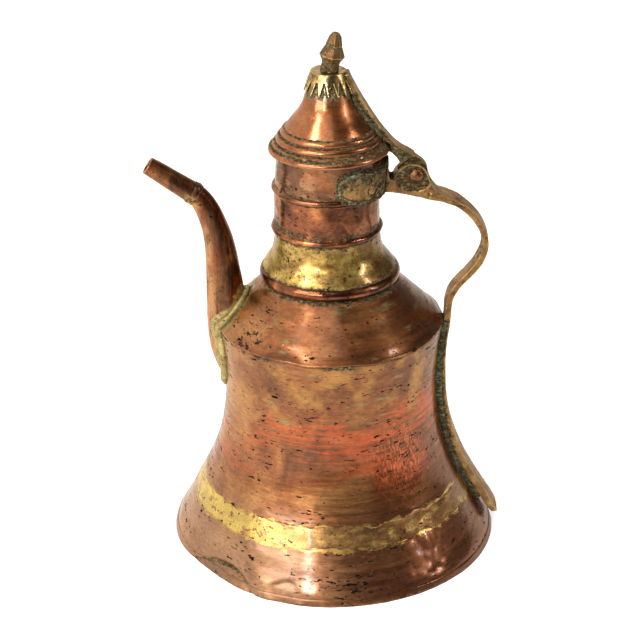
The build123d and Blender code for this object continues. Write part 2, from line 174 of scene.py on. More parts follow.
def section(node, azimuth=radians(-90.37)):
    """The outline (radius, height) of a turned node, where a half plane from the axis cuts it.
    Returns the run of points, and whether it closes on itself or ends on the axis."""
    points, triangles = node_mesh(node)
    radius = points[:, 0] * cos(azimuth) + points[:, 1] * sin(azimuth)
    side = points[:, 1] * cos(azimuth) - points[:, 0] * sin(azimuth)
    places, links = {}, {}
    ahead = (side[triangles] > 0).sum(1)
    for triangle in triangles[(ahead == 1) | (ahead == 2)]:
        cut = []
        for a, b in zip(triangle, np.roll(triangle, -1)):
            if (side[a] > 0) != (side[b] > 0):
                edge = (min(a, b), max(a, b))
                share = side[a] / (side[a] - side[b])
                places[edge] = np.array([
                    radius[a] + share * (radius[b] - radius[a]),
                    points[a, 2] + share * (points[b, 2] - points[a, 2])])
                cut.append(edge)
        links.setdefault(cut[0], []).append(cut[1])
        links.setdefault(cut[1], []).append(cut[0])
    start = max(places, key=lambda edge: places[edge][0])
    run, before, here = [start], None, start
    while True:
        onward = [edge for edge in links[here] if edge != before]
        if not onward or onward[0] == start:
            break
        before, here = here, onward[0]
        run.append(here)
    outline = np.array([places[edge] for edge in run])
    beyond = outline[:, 0] < 0
    if not beyond.any():
        return outline, True
    first = int(np.argmax(beyond & ~np.roll(beyond, -1)))
    outline = np.roll(outline, -(first + 1), axis=0)
    outline = outline[outline[:, 0] >= 0]
    return np.vstack([[0, outline[0, 1]], outline, [0, outline[-1, 1]]]), False


def evened(outline, closed, step, inner_step, ease=0.35, corner=radians(28)):
    """The outline with evenly spaced points, wider apart on its inner faces, and corners rubbed round."""
    ahead = np.roll(outline, -1, axis=0) - outline
    keep = np.hypot(*ahead.T) > 1e-3
    outline = outline[keep] if closed else outline[np.append(keep[:-1], True)]
    ahead = np.roll(outline, -1, axis=0) - outline
    heading = np.arctan2(ahead[:, 1], ahead[:, 0])
    turn = np.abs((heading - np.roll(heading, 1) + pi) % (2 * pi) - pi)
    is_corner = turn > corner
    if closed:
        first = int(np.argmax(is_corner))
        outline = np.vstack([np.roll(outline, -first, axis=0), outline[first]])
        is_corner = np.append(np.roll(is_corner, -first), True)
    is_corner[0] = is_corner[-1] = True
    area = np.sum(outline[:-1, 0] * outline[1:, 1] - outline[1:, 0] * outline[:-1, 1])
    outward = 1 if area > 0 else -1
    stops = np.flatnonzero(is_corner)
    runs = []
    for a, b in zip(stops[:-1], stops[1:]):
        part = outline[a:b + 1]
        along = np.append(0, np.cumsum(np.hypot(*np.diff(part, axis=0).T)))
        rise = (part[-1] - part[0])[1] * outward
        wanted = step if rise > -0.2 * along[-1] else inner_step
        cut_back = min(ease, along[-1] * 0.25)
        places = np.linspace(cut_back, along[-1] - cut_back, max(2, int(round(along[-1] / wanted)) + 1))
        if not closed and a == stops[0]:
            places[0] = 0
        if not closed and b == stops[-1]:
            places[-1] = along[-1]
        runs.append(np.stack([np.interp(places, along, part[:, k]) for k in (0, 1)], axis=1))
    eased = []
    for k, run in enumerate(runs):
        eased.append(run)
        follows = runs[(k + 1) % len(runs)]
        if closed or k < len(runs) - 1:
            tip = outline[stops[k + 1]]
            eased.append([(run[-1] + follows[0]) / 4 + tip / 2])
    return np.vstack(eased)


def turned_shape(node, step=1.1, ease=0.35, inner_step=2.6):
    """Points and faces of a turned node, in fine even squares."""
    outline, closed = section(node)
    outline = evened(outline, closed, step, max(step, inner_step), ease)
    around = int(ceil(2 * pi * outline[:, 0].max() / step / 1.25))
    angles = np.arange(around) * 2 * pi / around
    poles = [] if closed else [outline[0], outline[-1]]
    rows = outline if closed else outline[1:-1]
    radius, height = rows.T
    grid = np.stack([
        radius[:, None] * np.cos(angles), radius[:, None] * np.sin(angles),
        np.repeat(height[:, None], around, axis=1)], axis=2)
    points = grid.reshape(-1, 3)
    count = len(rows)
    faces = []
    for i in range(count if closed else count - 1):
        here, above = i * around, (i + 1) % count * around
        faces += [
            (here + j, here + (j + 1) % around, above + (j + 1) % around, above + j) for j in range(around)]
    if poles:
        points = np.vstack([points, [(0, 0, pole[1]) for pole in poles]])
        last = (count - 1) * around
        faces += [(j, count * around, (j + 1) % around) for j in range(around)]
        faces += [(last + j, last + (j + 1) % around, count * around + 1) for j in range(around)]
    return points, faces


def cast_shape(node, voxel=0.5, smoothing=3):
    """Points and faces of any node, remeshed evenly, with its edges rubbed round."""
    points, triangles = node_mesh(node)
    mesh = bpy.data.meshes.new(node + "_shape")
    mesh.from_pydata(points * MM, [], triangles.tolist())
    shape = bpy.data.objects.new(node + "_shape", mesh)
    bpy.context.scene.collection.objects.link(shape)
    remesh = shape.modifiers.new("even", "REMESH")
    remesh.mode = "VOXEL"
    remesh.voxel_size = voxel * MM
    smooth = shape.modifiers.new("rubbed", "SMOOTH")
    smooth.iterations = smoothing
    smooth.factor = 0.5
    found = shape.evaluated_get(bpy.context.evaluated_depsgraph_get()).to_mesh()
    places = np.empty(len(found.vertices) * 3)
    found.vertices.foreach_get("co", places)
    faces = [tuple(face.vertices) for face in found.polygons]
    shape.to_mesh_clear()
    bpy.data.objects.remove(shape)
    bpy.data.meshes.remove(mesh)
    return places.reshape(-1, 3) / MM, faces


class Piece:
    """A visible piece while it's being worked: points in millimetres, with their outward normals."""

    def __init__(self, node, shape, green):
        points, faces = shape
        self.node = node
        self.green = green
        self.tinned = touching(points, ("spout_foot_braze",), 7.0) if node in TINNED_NODES else 0.0
        self.mesh = bpy.data.meshes.new("worn_" + node)
        self.mesh.from_pydata(points * MM, [], faces)
        self.mesh.update()
        self.mesh.calc_loop_triangles()
        corners = np.empty(len(self.mesh.loop_triangles) * 3, int)
        self.mesh.loop_triangles.foreach_get("vertices", corners)
        a, b, c = points[corners.reshape(-1, 3)].transpose(1, 0, 2)
        if np.einsum("ij,ij->i", a, np.cross(b, c)).sum() < 0:
            self.mesh.flip_normals()
        self.points = points
        edges = np.empty(len(self.mesh.edges) * 2, int)
        self.mesh.edges.foreach_get("vertices", edges)
        self.edges = edges.reshape(-1, 2)
        self.valence = np.bincount(edges, minlength=len(points))
        self.update()

    def update(self):
        """Writes the points to the mesh and reads its normals back."""
        self.mesh.vertices.foreach_set("co", (self.points * MM).ravel())
        self.mesh.update()
        normals = np.empty(len(self.points) * 3)
        self.mesh.vertices.foreach_get("normal", normals)
        self.normals = normals.reshape(-1, 3)

    def push(self, distance):
        """Moves each point out along its normal."""
        self.points = self.points + self.normals * np.reshape(distance, (-1, 1))
        self.update()

    def move(self, bend):
        """Moves the points by a bend of space."""
        self.points = bend(self.points)
        self.update()

    def spread(self, values, rounds):
        """Values averaged with their neighbours', so many times over."""
        a, b = self.edges.T
        for _ in range(rounds):
            near = np.bincount(a, values[b], len(values)) + np.bincount(b, values[a], len(values))
            values = (values + near / self.valence) / 2
        return values

    def hollow(self, rounds):
        """How hollow each point lies, per millimetre: above 0 in a groove and below 0 on a ridge."""
        a, b = self.edges.T
        lean = np.zeros((len(self.points), 3))
        for k in range(3):
            gap = self.points[b, k] - self.points[a, k]
            lean[:, k] = np.bincount(a, gap, len(lean)) - np.bincount(b, gap, len(lean))
        apart = self.points[a] - self.points[b]
        length = np.hypot(*apart[:, :2].T) + np.abs(apart[:, 2])
        mean = (np.bincount(a, length, len(lean)) + np.bincount(b, length, len(lean))) / self.valence
        curve = (lean * self.normals).sum(1) / self.valence / mean ** 2
        return self.spread(curve, rounds)

    def mark(self, name, values):
        """Writes a value from 0 to 1 at each point for the metals to read."""
        attribute = self.mesh.attributes.new(name, "FLOAT", "POINT")
        attribute.data.foreach_set("value", np.clip(values, 0, 1).astype(np.float32))

    def done(self, body, slot):
        """Puts the piece in the scene, on its body, in its metal."""
        self.mesh.shade_smooth()
        self.mesh.set_sharp_from_angle(angle=radians(55))
        piece = bpy.data.objects.new("worn_" + self.node, self.mesh)
        bpy.context.scene.collection.objects.link(piece)
        self.mesh.materials.append(METALS[slot])
        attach(piece, body)
        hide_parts(self.node)
        return piece


def touching(places, nodes, reach):
    """1 where a place meets any of the nodes, falling to 0 at reach away."""
    points, triangles = [], []
    for node in nodes:
        found, corners = node_mesh(node)
        triangles += (corners + sum(map(len, points))).tolist()
        points.append(found)
    tree = BVHTree.FromPolygons(np.vstack(points).tolist(), triangles)
    gaps = np.full(len(places), float(reach))
    for i, point in enumerate(places.tolist()):
        hit = tree.find_nearest(point, reach)
        if hit[0] is not None:
            gaps[i] = hit[3]
    return 1 - gaps / reach


# ---- How the pot is bent -----------------------------------------------------

def outer_radii(nodes, levels):
    """The outer radius of some turned nodes at each height."""
    widest = np.zeros(len(levels))
    for node in nodes:
        radius, height = section(node)[0].T
        onward_radius, onward_height = np.roll(radius, -1), np.roll(height, -1)
        for k, level in enumerate(levels):
            crossed = (height > level) != (onward_height > level)
            share = (level - height[crossed]) / (onward_height - height)[crossed]
            found = radius[crossed] + share * (onward_radius - radius)[crossed]
            widest[k] = max(widest[k], found.max(initial=0))
    return widest


BELL_LEVELS = np.linspace(HEM_TOP + 0.5, WALL_TOP - 0.5, 60)
BELL_RADII = outer_radii(("foot_skirt", "foot_seam_braze", "body_wall"), BELL_LEVELS)


def bell_radius(height):
    """Outer radius of the bell at a height."""
    return np.interp(height, BELL_LEVELS, BELL_RADII)


def from_fold(azimuth):
    """Angle round the pot from the middle of the fold in the foot."""
    return (azimuth - FOLD_AZIMUTH + pi) % (2 * pi) - pi


def crease_height(azimuth):
    """Height of the fold's crease, which runs down to the rim at both ends, faster towards the front."""
    along = from_fold(azimuth) - 0.16
    return CREASE_HEIGHT - np.where(along < 0, 45, 150) * along ** 2


def pot_bend(points):
    """The pot's dents, leans and wavy ridge, as one bend of space that keeps meeting pieces together."""
    x, y, z = points.T
    radius = np.hypot(x, y)
    azimuth = np.arctan2(y, x)
    circle = np.stack([np.cos(azimuth), np.sin(azimuth), 0 * azimuth], axis=1)
    on_bell = climb(radius, 44, 50) * climb(z, 132, 126)

    waver = 1.5 * waves(circle * 60, 9, 5, 2) + 0.5 * waves(circle * 60, 2.6, 6)
    near_seam = on_bell * np.maximum(bump(z - SEAM_LOW, 4), bump(z - SEAM_HIGH, 4))
    lifted = z + waver * near_seam
    radius = radius + bell_radius(lifted) - bell_radius(z)
    z = lifted

    round_about = circle * 60 + z[:, None] * np.array([0, 0, 0.5])
    radius = radius + on_bell * climb(z, 10, 30) * 0.5 * waves(round_about, 34, 11)

    ridge = bump(z - RIDGE_Z, 3.0) * climb(radius, 54, 57)
    radius = radius + 0.28 * ridge * waves(circle * 60, 10, 21, 2)
    z = z + 0.55 * ridge * waves(circle * 60, 12, 22, 2)

    outside = climb(radius, 60, 76)
    fold = bump(from_fold(azimuth), FOLD_WIDTH)
    crease = np.exp(-np.abs(z - crease_height(azimuth)) / 1.8)
    flattened = bump(from_fold(azimuth) + 0.3, 0.6) * climb(z, 34, 4)
    crease = crease * CREASE_DEPTH * bump(from_fold(azimuth) - 0.12, 0.24)
    inward = fold * FOLD_DEPTH * climb(z, 22, 4) + crease + 1.4 * flattened
    from_dint = np.hypot((azimuth - DINT_AZIMUTH) * FOOT_R, (z - 4) * 1.3) + 1.5 * waves(points, 7, 33)
    inward = inward + 0.5 * climb(from_dint, 10, 6.5)
    beaten_side = bump(azimuth - SCUFF_AZIMUTH, 0.16) * climb(z, 50, 40) * climb(z, 4, 8)
    inward = inward + 0.8 * beaten_side * dishes(circle * 80 + points * (0, 0, 1), 6, 35)
    inward = inward + 0.5 * climb(z, 9, 0) * (0.5 + 0.5 * waves(circle * 60, 22, 31, 2))
    radius = radius - outside * inward

    x = radius * np.cos(azimuth)
    y = radius * np.sin(azimuth)
    near_axis = climb(radius, 50, 40)
    lean = climb(z, 146, 172) * climb(z, 217, 190) * near_axis
    return np.stack([x - NECK_LEAN * lean, y, z], axis=1)


# ---- Metals ------------------------------------------------------------------

def shade(red, green, blue):
    """A colour as it's seen on a screen, 0 to 255, as the linear numbers a shader takes."""
    parts = np.array([red, green, blue]) / 255
    return (*np.where(parts < 0.04045, parts / 12.92, ((parts + 0.055) / 1.055) ** 2.4), 1)


OXIDE = shade(30, 22, 15)
SOOT = shade(36, 27, 16)
GRIME = shade(78, 61, 39)
PALE_CRUST = shade(144, 126, 90)
TINNED = shade(178, 156, 98)
DEEP_GREEN = shade(52, 64, 46)
VERDIGRIS = shade(98, 122, 92)
CHALK = shade(170, 190, 158)
RAW_COPPER = shade(236, 168, 122)
RAW_BRASS = shade(244, 214, 128)
WHITE = shade(255, 255, 255)

# Relief of the metals' skin, in millimetres
SCRATCH_DEPTH = 0.012
PIT_DEPTH = 0.16
DIRT_HEIGHT = 0.05
CRUST_HEIGHT = 0.22


class Paint:
    """A metal's shader while it's being put together. Each call adds a node and gives its output."""

    def __init__(self, name):
        self.material = bpy.data.materials.new(name)
        self.material.use_nodes = True
        self.tree = self.material.node_tree
        self.shader = self.tree.nodes["Principled BSDF"]
        place = self.tree.nodes.new("ShaderNodeTexCoord").outputs["Object"]
        self.place = self.vector("MULTIPLY", place, (1 / MM,) * 3)

    def add(self, kind, inputs, output=0, **settings):
        node = self.tree.nodes.new("ShaderNode" + kind)
        for name, value in settings.items():
            setattr(node, name, value)
        for key, value in inputs.items():
            if isinstance(value, bpy.types.NodeSocket):
                self.tree.links.new(value, node.inputs[key])
            else:
                node.inputs[key].default_value = value
        return node.outputs[output]

    def vector(self, operation, a, b):
        return self.add("VectorMath", {0: a, 1: b}, operation=operation)

    def calc(self, operation, a, b=0.0, clamp=False):
        return self.add("Math", {0: a, 1: b}, operation=operation, use_clamp=clamp)

    def noise(self, size, stretch=(1, 1, 1), detail=3.0, rough=0.55, twist=0.0, shift=0.0):
        """Cloudy noise, with blots about size millimetres across, times stretch along each axis."""
        scale = tuple(1 / (size * s) for s in stretch)
        place = self.vector("ADD", self.vector("MULTIPLY", self.place, scale), (shift, shift * 0.7, -shift))
        inputs = {"Vector": place, "Scale": 1.0, "Detail": detail, "Roughness": rough, "Distortion": twist}
        return self.add("TexNoise", inputs)

    def marks(self, size, smooth=0.4, shift=0.0):
        """Rounded hammer marks about size millimetres across, 0 in their middles."""
        place = self.vector("ADD", self.vector("MULTIPLY", self.place, (1 / size,) * 3), (shift,) * 3)
        inputs = {"Vector": place, "Scale": 1.0, "Smoothness": smooth}
        return self.add("TexVoronoi", inputs, feature="SMOOTH_F1")

    def facet(self, size, shift=0.0):
        """A soft number from 0 to 1 for each flat left by the hammer."""
        bent = self.add("TexNoise", {"Vector": self.place, "Scale": 0.7 / size}, "Color")
        place = self.vector("ADD", self.vector("MULTIPLY", self.place, (1 / size,) * 3), (shift,) * 3)
        place = self.vector("ADD", place, self.vector("MULTIPLY", bent, (0.8,) * 3))
        inputs = {"Vector": place, "Scale": 1.0, "Smoothness": 0.35}
        flat = self.add("TexVoronoi", inputs, "Color", feature="SMOOTH_F1")
        return self.add("SeparateXYZ", {0: flat}, "X")

    def ease(self, value, low, high, start=0.0, end=1.0):
        """start where value is under low, end where it's over high, smooth between."""
        inputs = {"Value": value, "From Min": low, "From Max": high, "To Min": start, "To Max": end}
        return self.add("MapRange", inputs, interpolation_type="SMOOTHSTEP")

    def plus(self, a, b):
        return self.calc("ADD", a, b)

    def times(self, first, *others):
        for other in others:
            first = self.calc("MULTIPLY", first, other)
        return first

    def height(self):
        return self.add("SeparateXYZ", {0: self.place}, "Z")

    def across(self):
        """Place from the spout's side to the handle's, 0 at the pot's axis."""
        return self.add("SeparateXYZ", {0: self.place}, "X")

    def attribute(self, name):
        return self.add("Attribute", {}, "Fac", attribute_name=name)

    def spot(self, centre, radius):
        """1 at a place, given in millimetres, falling to 0 at radius from it."""
        gap = self.add("VectorMath", {0: self.place, 1: tuple(centre)}, "Value", operation="DISTANCE")
        return self.ease(gap, 0, radius, 1, 0)

    def mix(self, share, under, over, blend="MIX"):
        node = self.tree.nodes.new("ShaderNodeMix")
        node.data_type = "RGBA"
        node.blend_type = blend
        for socket, value in ((node.inputs[0], share), (node.inputs[6], under), (node.inputs[7], over)):
            if isinstance(value, bpy.types.NodeSocket):
                self.tree.links.new(value, socket)
            else:
                socket.default_value = value
        return node.outputs[2]

    def tones(self, value, *colours, low=0.34, high=0.66):
        """Colours run evenly along a value from low to high."""
        node = self.tree.nodes.new("ShaderNodeValToRGB")
        ramp = node.color_ramp
        while len(ramp.elements) < len(colours):
            ramp.elements.new(0.5)
        for k, colour in enumerate(colours):
            ramp.elements[k].position = low + (high - low) * k / (len(colours) - 1)
            ramp.elements[k].color = colour
        self.tree.links.new(value, node.inputs[0])
        return node.outputs[0]

    def finish(self, colour, metallic, roughness, relief, dull, coat):
        """Joins up the shader. relief is the surface's height in millimetres and dull is 1 on dirt."""
        bright = self.calc("SUBTRACT", 1.0, dull)
        self.shader.inputs["Coat IOR"].default_value = 1.6
        self.shader.inputs["Coat Roughness"].default_value = 0.16
        self.shader.inputs["Specular Tint"].default_value = (0.9, 0.75, 0.6, 1)
        for name, value in (
            ("Base Color", colour),
            ("Metallic", metallic),
            ("Roughness", roughness),
            ("Normal", self.add("Bump", {"Height": relief, "Distance": MM, "Strength": 1.0})),
            ("Specular IOR Level", self.times(bright, 0.5)),
            ("Coat Weight", self.times(bright, coat)),
        ):
            self.tree.links.new(value, self.shader.inputs[name])
        return self.material


def black_marks(paint, speckle, patches, pits, dashes, shift):
    """1 on black pits and on short dark dashes drawn round the pot, both lying in groups."""
    pit_limit = paint.ease(patches, 0.38, 0.62, 0.70 - 0.04 * pits, 0.66 - 0.08 * pits)
    pit = paint.ease(paint.calc("SUBTRACT", speckle, pit_limit), 0, 0.05)
    long_blots = paint.noise(2.0, stretch=(1.7, 1.7, 0.6), detail=3, rough=0.5, shift=shift + 15)
    in_groups = paint.noise(8, stretch=(2.4, 2.4, 0.45), detail=2, shift=shift + 18)
    dash_limit = paint.ease(in_groups, 0.42, 0.60, 0.74 - 0.02 * dashes, 0.66 - 0.07 * dashes)
    dash = paint.ease(paint.calc("SUBTRACT", long_blots, dash_limit), 0, 0.05)
    return paint.calc("MAXIMUM", paint.times(pit, min(1, pits * 4)), paint.times(dash, min(1, dashes * 4)))


def aged_metal(name, colours, bare, cloud=26, grain=(6, 6, 0.7), grain_share=0.35, pits=0.0, dashes=0.0,
               gloss=(0.24, 0.44), coat=0.4, tarnish=0.0, beat=(9, 0.10), facet_sheen=0.0, extra=None, shift=0.0):
    """A worn metal: cloudy colour drawn out along its grain, pits, dirt in its hollows and bright edges.
    pits and dashes run from 0, none, to 1. coat is the clear film of old polish, and tarnish takes from
    the metal's shine. beat is the hammer marks' size and depth; the facet setting is how far each hammered
    flat is painted lighter or darker, as a painted reflection."""
    paint = Paint(name)
    clouds = paint.noise(cloud, detail=4, rough=0.6, twist=0.6, shift=shift)
    drawn = paint.noise(3.2, stretch=grain, detail=4, rough=0.65, shift=shift + 3)
    tone = paint.plus(paint.times(clouds, 1 - grain_share), paint.times(drawn, grain_share))
    colour = paint.tones(tone, *(shade(*seen) for seen in colours))
    if extra:
        colour = extra(paint, colour)
    fine = paint.noise(0.9, stretch=tuple(max(1, g / 3) for g in grain), detail=3, shift=shift + 5)
    fine_tones = paint.tones(fine, shade(178, 172, 166), WHITE)
    colour = paint.mix(0.55, colour, fine_tones, "MULTIPLY")
    # Painted reflection: each hammered flat gets its own lighter or darker tone, standing in for the light
    # it catches.
    if facet_sheen:
        flats = paint.facet(beat[0], shift + 51)
        facet_sheen_tones = paint.tones(flats, shade(138, 124, 112), WHITE, low=0.2, high=0.8)
        colour = paint.mix(facet_sheen, colour, facet_sheen_tones, "MULTIPLY")

    hollow, edge, dirt, green, tinned = (
        paint.attribute(mark) for mark in ("hollow", "edge", "dirt", "green", "tinned"))
    speckle = paint.noise(1.8, detail=4, rough=0.7, shift=shift + 8)
    patches = paint.noise(11, detail=3, rough=0.6, shift=shift + 12)
    black = black_marks(paint, speckle, patches, pits, dashes, shift)
    worn = paint.times(edge, paint.ease(patches, 0.3, 0.55, 0.35, 1.0))
    colour = paint.mix(worn, colour, bare)
    smeared = paint.ease(paint.plus(tinned, paint.ease(patches, 0.3, 0.7, -0.25, 0.25)), 0.30, 0.55)
    colour = paint.mix(smeared, colour, paint.tones(speckle, GRIME, TINNED, low=0.3, high=0.55))
    ragged = paint.ease(paint.noise(2.6, detail=5, rough=0.7, shift=shift + 21), 0.3, 0.7, -0.35, 0.35)
    soiled = paint.ease(paint.plus(paint.calc("MAXIMUM", hollow, dirt), ragged), 0.32, 0.75)
    flecked = paint.noise(1.5, stretch=(1.5, 1.5, 0.8), detail=5, rough=0.75, shift=shift + 28)
    dirt_tones = paint.tones(flecked, SOOT, GRIME, PALE_CRUST, low=0.36, high=0.7)
    colour = paint.mix(soiled, colour, dirt_tones)
    greened = paint.times(soiled, green, paint.ease(patches, 0.38, 0.58, 0.25, 1))
    green_tones = paint.tones(flecked, DEEP_GREEN, VERDIGRIS, CHALK, low=0.34, high=0.64)
    colour = paint.mix(greened, colour, green_tones)
    colour = paint.mix(black, colour, OXIDE)

    dull = paint.calc("MAXIMUM", black, soiled)
    metallic = paint.calc("SUBTRACT", 1.0 - tarnish, dull, clamp=True)
    smudges = paint.noise(6, stretch=grain, detail=4, rough=0.6, shift=shift + 25)
    sheen = paint.ease(smudges, 0.35, 0.65, *gloss)
    roughness = paint.calc("ADD", sheen, paint.times(dull, 0.35), clamp=True)

    size, depth = beat
    marks = paint.times(paint.marks(size, shift=shift + 31), depth)
    scratches = paint.times(paint.noise(0.5, stretch=grain, detail=2, shift=shift + 35), SCRATCH_DEPTH)
    sunk = paint.plus(paint.times(black, -PIT_DEPTH), paint.times(soiled, DIRT_HEIGHT))
    crusted = paint.times(speckle, soiled, CRUST_HEIGHT)
    relief = paint.plus(paint.plus(marks, scratches), paint.plus(sunk, crusted))
    return paint.finish(colour, metallic, roughness, relief, dull, coat)


def shaded_towards_handle(paint, colour, reach, share, tone):
    """Painted shade: the metal painted darker and browner towards the handle's side, away from the light,
    fully at reach millimetres from the axis.
    """
    ragged = paint.noise(12, detail=4, rough=0.6, shift=75)
    across = paint.plus(paint.across(), paint.ease(ragged, 0.3, 0.7, -0.2 * reach, 0.2 * reach))
    return paint.mix(paint.ease(across, 0, reach, 0, share), colour, tone)


def seam_flecks(paint):
    """Noise that is raised near the foot's seam, where its brass and the copper mingle."""
    flecks = paint.noise(4.5, stretch=(1.6, 1.6, 1), detail=6, rough=0.75, shift=61)
    middle = (SEAM_LOW + SEAM_HIGH) / 2
    from_seam = paint.calc("ABSOLUTE", paint.calc("SUBTRACT", paint.height(), middle))
    return paint.plus(flecks, paint.ease(from_seam, 4, 9, 0.14, -0.12))


def body_colours(paint, colour):
    """The bell's stains: red streaks round its middle, yellow above, brass flecks by the seam; also painted
    shade towards the handle's side, and low down a painted pale reflection on the spout's side with painted
    shade on the handle's side.
    """
    height = paint.height()
    across = paint.across()
    # Painted shade: the bell darker towards the handle's side.
    colour = shaded_towards_handle(paint, colour, 42, 0.7, shade(92, 52, 28))

    long_streaks = paint.noise(2.6, stretch=(13, 13, 0.8), detail=4, rough=0.65, shift=41)
    broad = paint.noise(30, stretch=(1, 1, 0.8), detail=3, shift=44)
    middle = paint.times(paint.ease(height, 44, 66), paint.ease(height, 104, 88))
    rightward = paint.ease(across, -30, 34, -0.06, 0.08)
    streaked = paint.plus(paint.plus(long_streaks, broad), rightward)
    red = paint.times(middle, paint.ease(streaked, 0.94, 1.18))
    colour = paint.mix(paint.times(red, 0.62), colour, shade(204, 92, 44))

    upper = paint.times(paint.ease(height, 78, 100), paint.ease(height, RIDGE_Z + 2, RIDGE_Z - 4))
    yellowed = paint.noise(17, detail=6, rough=0.65, shift=47)
    stain = paint.times(upper, paint.ease(yellowed, 0.42, 0.66))
    colour = paint.mix(paint.times(stain, 0.7), colour, shade(190, 138, 66))
    sage_blots = paint.noise(7, stretch=(2.5, 2.5, 0.7), detail=4, shift=53)
    sage = paint.times(paint.ease(height, 70, 95), paint.ease(sage_blots, 0.60, 0.70))
    colour = paint.mix(paint.times(sage, 0.5), colour, shade(140, 138, 92))

    scratches = paint.noise(1.1, stretch=(0.9, 0.9, 3.5), detail=4, rough=0.7, shift=57)
    bared = paint.times(paint.spot(SCRATCHED_SPOT, 30), paint.ease(scratches, 0.45, 0.6))
    colour = paint.mix(bared, colour, shade(232, 118, 66))

    # Painted light low on the bell: a pale grey reflection towards the spout's side and dark brown shade
    # towards the handle's side.
    low_reflection_and_shade = paint.mix(paint.ease(across, -50, 40), shade(160, 128, 98), shade(112, 66, 44))
    colour = paint.mix(paint.ease(height, 52, 22, 0, 0.5), colour, low_reflection_and_shade)
    for centre, reach, size in ((SCALE_SPOT, 17, (2.6, 2.6, 0.9)), (SPOUT_STAIN, 13, (1.4, 1.4, 1.0))):
        blot = paint.ease(paint.noise(2.4, stretch=size, detail=5, rough=0.65, shift=63), 0.62, 0.5)
        near = paint.ease(paint.spot(centre, reach), 0.0, 0.5)
        colour = paint.mix(paint.ease(paint.calc("SUBTRACT", near, blot), 0.35, 0.5), colour, OXIDE)
    return paint.mix(paint.ease(seam_flecks(paint), 0.54, 0.58), colour, shade(190, 150, 78))


def seam_colours(paint, colour):
    """The seam's brass painted lighter towards the spout's side as painted light, and copper showing through
    rubbed brass, more of it towards the handle's side, where it also serves as painted shade.
    """
    across = paint.across()
    # Painted light: the brass lighter towards the spout's side.
    colour = paint.mix(paint.ease(across, -4, -32, 0, 0.6), colour, shade(232, 202, 102))
    # Copper showing through thin brass, with more of it towards the handle's side as painted shade.
    thin_brass = paint.noise(3.5, stretch=(2, 2, 0.8), detail=5, rough=0.7, shift=59)
    rubbed = paint.times(paint.ease(across, -50, 25, 0.15, 1), paint.ease(thin_brass, 0.62, 0.44))
    colour = paint.mix(rubbed, colour, shade(134, 90, 54))
    return paint.mix(paint.ease(seam_flecks(paint), 0.58, 0.54), colour, shade(148, 98, 62))


def spout_colours(paint, colour):
    """A painted pale reflection down the spout's outer side, painted shade in dark streaks on its inner
    side, and brass by the tip's sleeve.
    """
    sideways = paint.add("SeparateXYZ", {0: paint.add("NewGeometry", {}, "Normal")}, "X")
    ragged = paint.ease(paint.noise(5, stretch=(1, 1, 4), detail=4, shift=67), 0.35, 0.55)
    # Painted reflection: a pale stripe on the faces that turn outward, towards the spout's side.
    lit_stripe = paint.times(paint.ease(sideways, -0.25, -0.75), ragged, 0.85)
    colour = paint.mix(lit_stripe, colour, shade(204, 146, 92))
    red = paint.ease(paint.noise(9, stretch=(1, 1, 2), detail=4, shift=68), 0.5, 0.62)
    colour = paint.mix(paint.times(red, 0.6), colour, shade(132, 58, 30))
    # Painted shade: dark streaks on the faces that turn inward, towards the handle's side, weaker up by the
    # tip.
    streaks = paint.ease(paint.noise(3.5, stretch=(0.8, 0.8, 6), detail=5, rough=0.7, shift=69), 0.46, 0.56)
    below_tip = paint.ease(paint.height(), SLEEVE[2] + 6, SLEEVE[2] - 10, 0.3, 0.85)
    dark = paint.times(streaks, paint.ease(sideways, -0.4, 0.5), below_tip)
    colour = paint.mix(dark, colour, shade(44, 27, 17))
    patchy = paint.ease(paint.noise(3, detail=4, shift=70), 0.4, 0.55)
    return paint.mix(paint.times(paint.spot(SLEEVE, 7.5), patchy), colour, shade(206, 166, 92))


def neck_colours(paint, colour):
    """A tanned band above the neck's upper bead, and painted shade towards the handle's side."""
    upper = paint.ease(paint.height(), NECK_TOP - 21, NECK_TOP - 17)
    clouds = paint.ease(paint.noise(14, detail=4, shift=71), 0.38, 0.55)
    colour = paint.mix(paint.times(upper, clouds), colour, shade(160, 112, 72))
    # Painted shade: the neck darker towards the handle's side.
    return shaded_towards_handle(paint, colour, 22, 0.65, shade(82, 46, 27))


def collar_colours(paint, colour):
    """Brown spots on the collar's brass, and painted shade towards the handle's side."""
    spots = paint.ease(paint.noise(3, detail=5, rough=0.7, shift=76), 0.52, 0.62)
    colour = paint.mix(paint.times(spots, 0.6), colour, shade(128, 88, 44))
    # Painted shade: the collar darker towards the handle's side.
    return shaded_towards_handle(paint, colour, 20, 0.75, shade(104, 72, 38))


def fitting_colours(paint, colour):
    """The knob, which is browner than the other fittings."""
    top = paint.ease(paint.height(), FINIAL[0][2] - 4, FINIAL[0][2])
    return paint.mix(paint.times(top, 0.8), colour, shade(92, 60, 34))


def lid_colours(paint, colour):
    """Grey-green bloom round the top of the lid's cone, under the crown, and painted shade towards the
    handle's side.
    """
    # Painted shade: the lid darker towards the handle's side.
    colour = shaded_towards_handle(paint, colour, 24, 0.4, shade(104, 58, 32))
    bloom = paint.ease(paint.height(), CROWN_LOW - 4.5, CROWN_LOW + 1)
    ragged = paint.ease(paint.noise(5, detail=5, rough=0.65, shift=73), 0.35, 0.6)
    return paint.mix(paint.times(bloom, ragged), colour, shade(112, 118, 92))


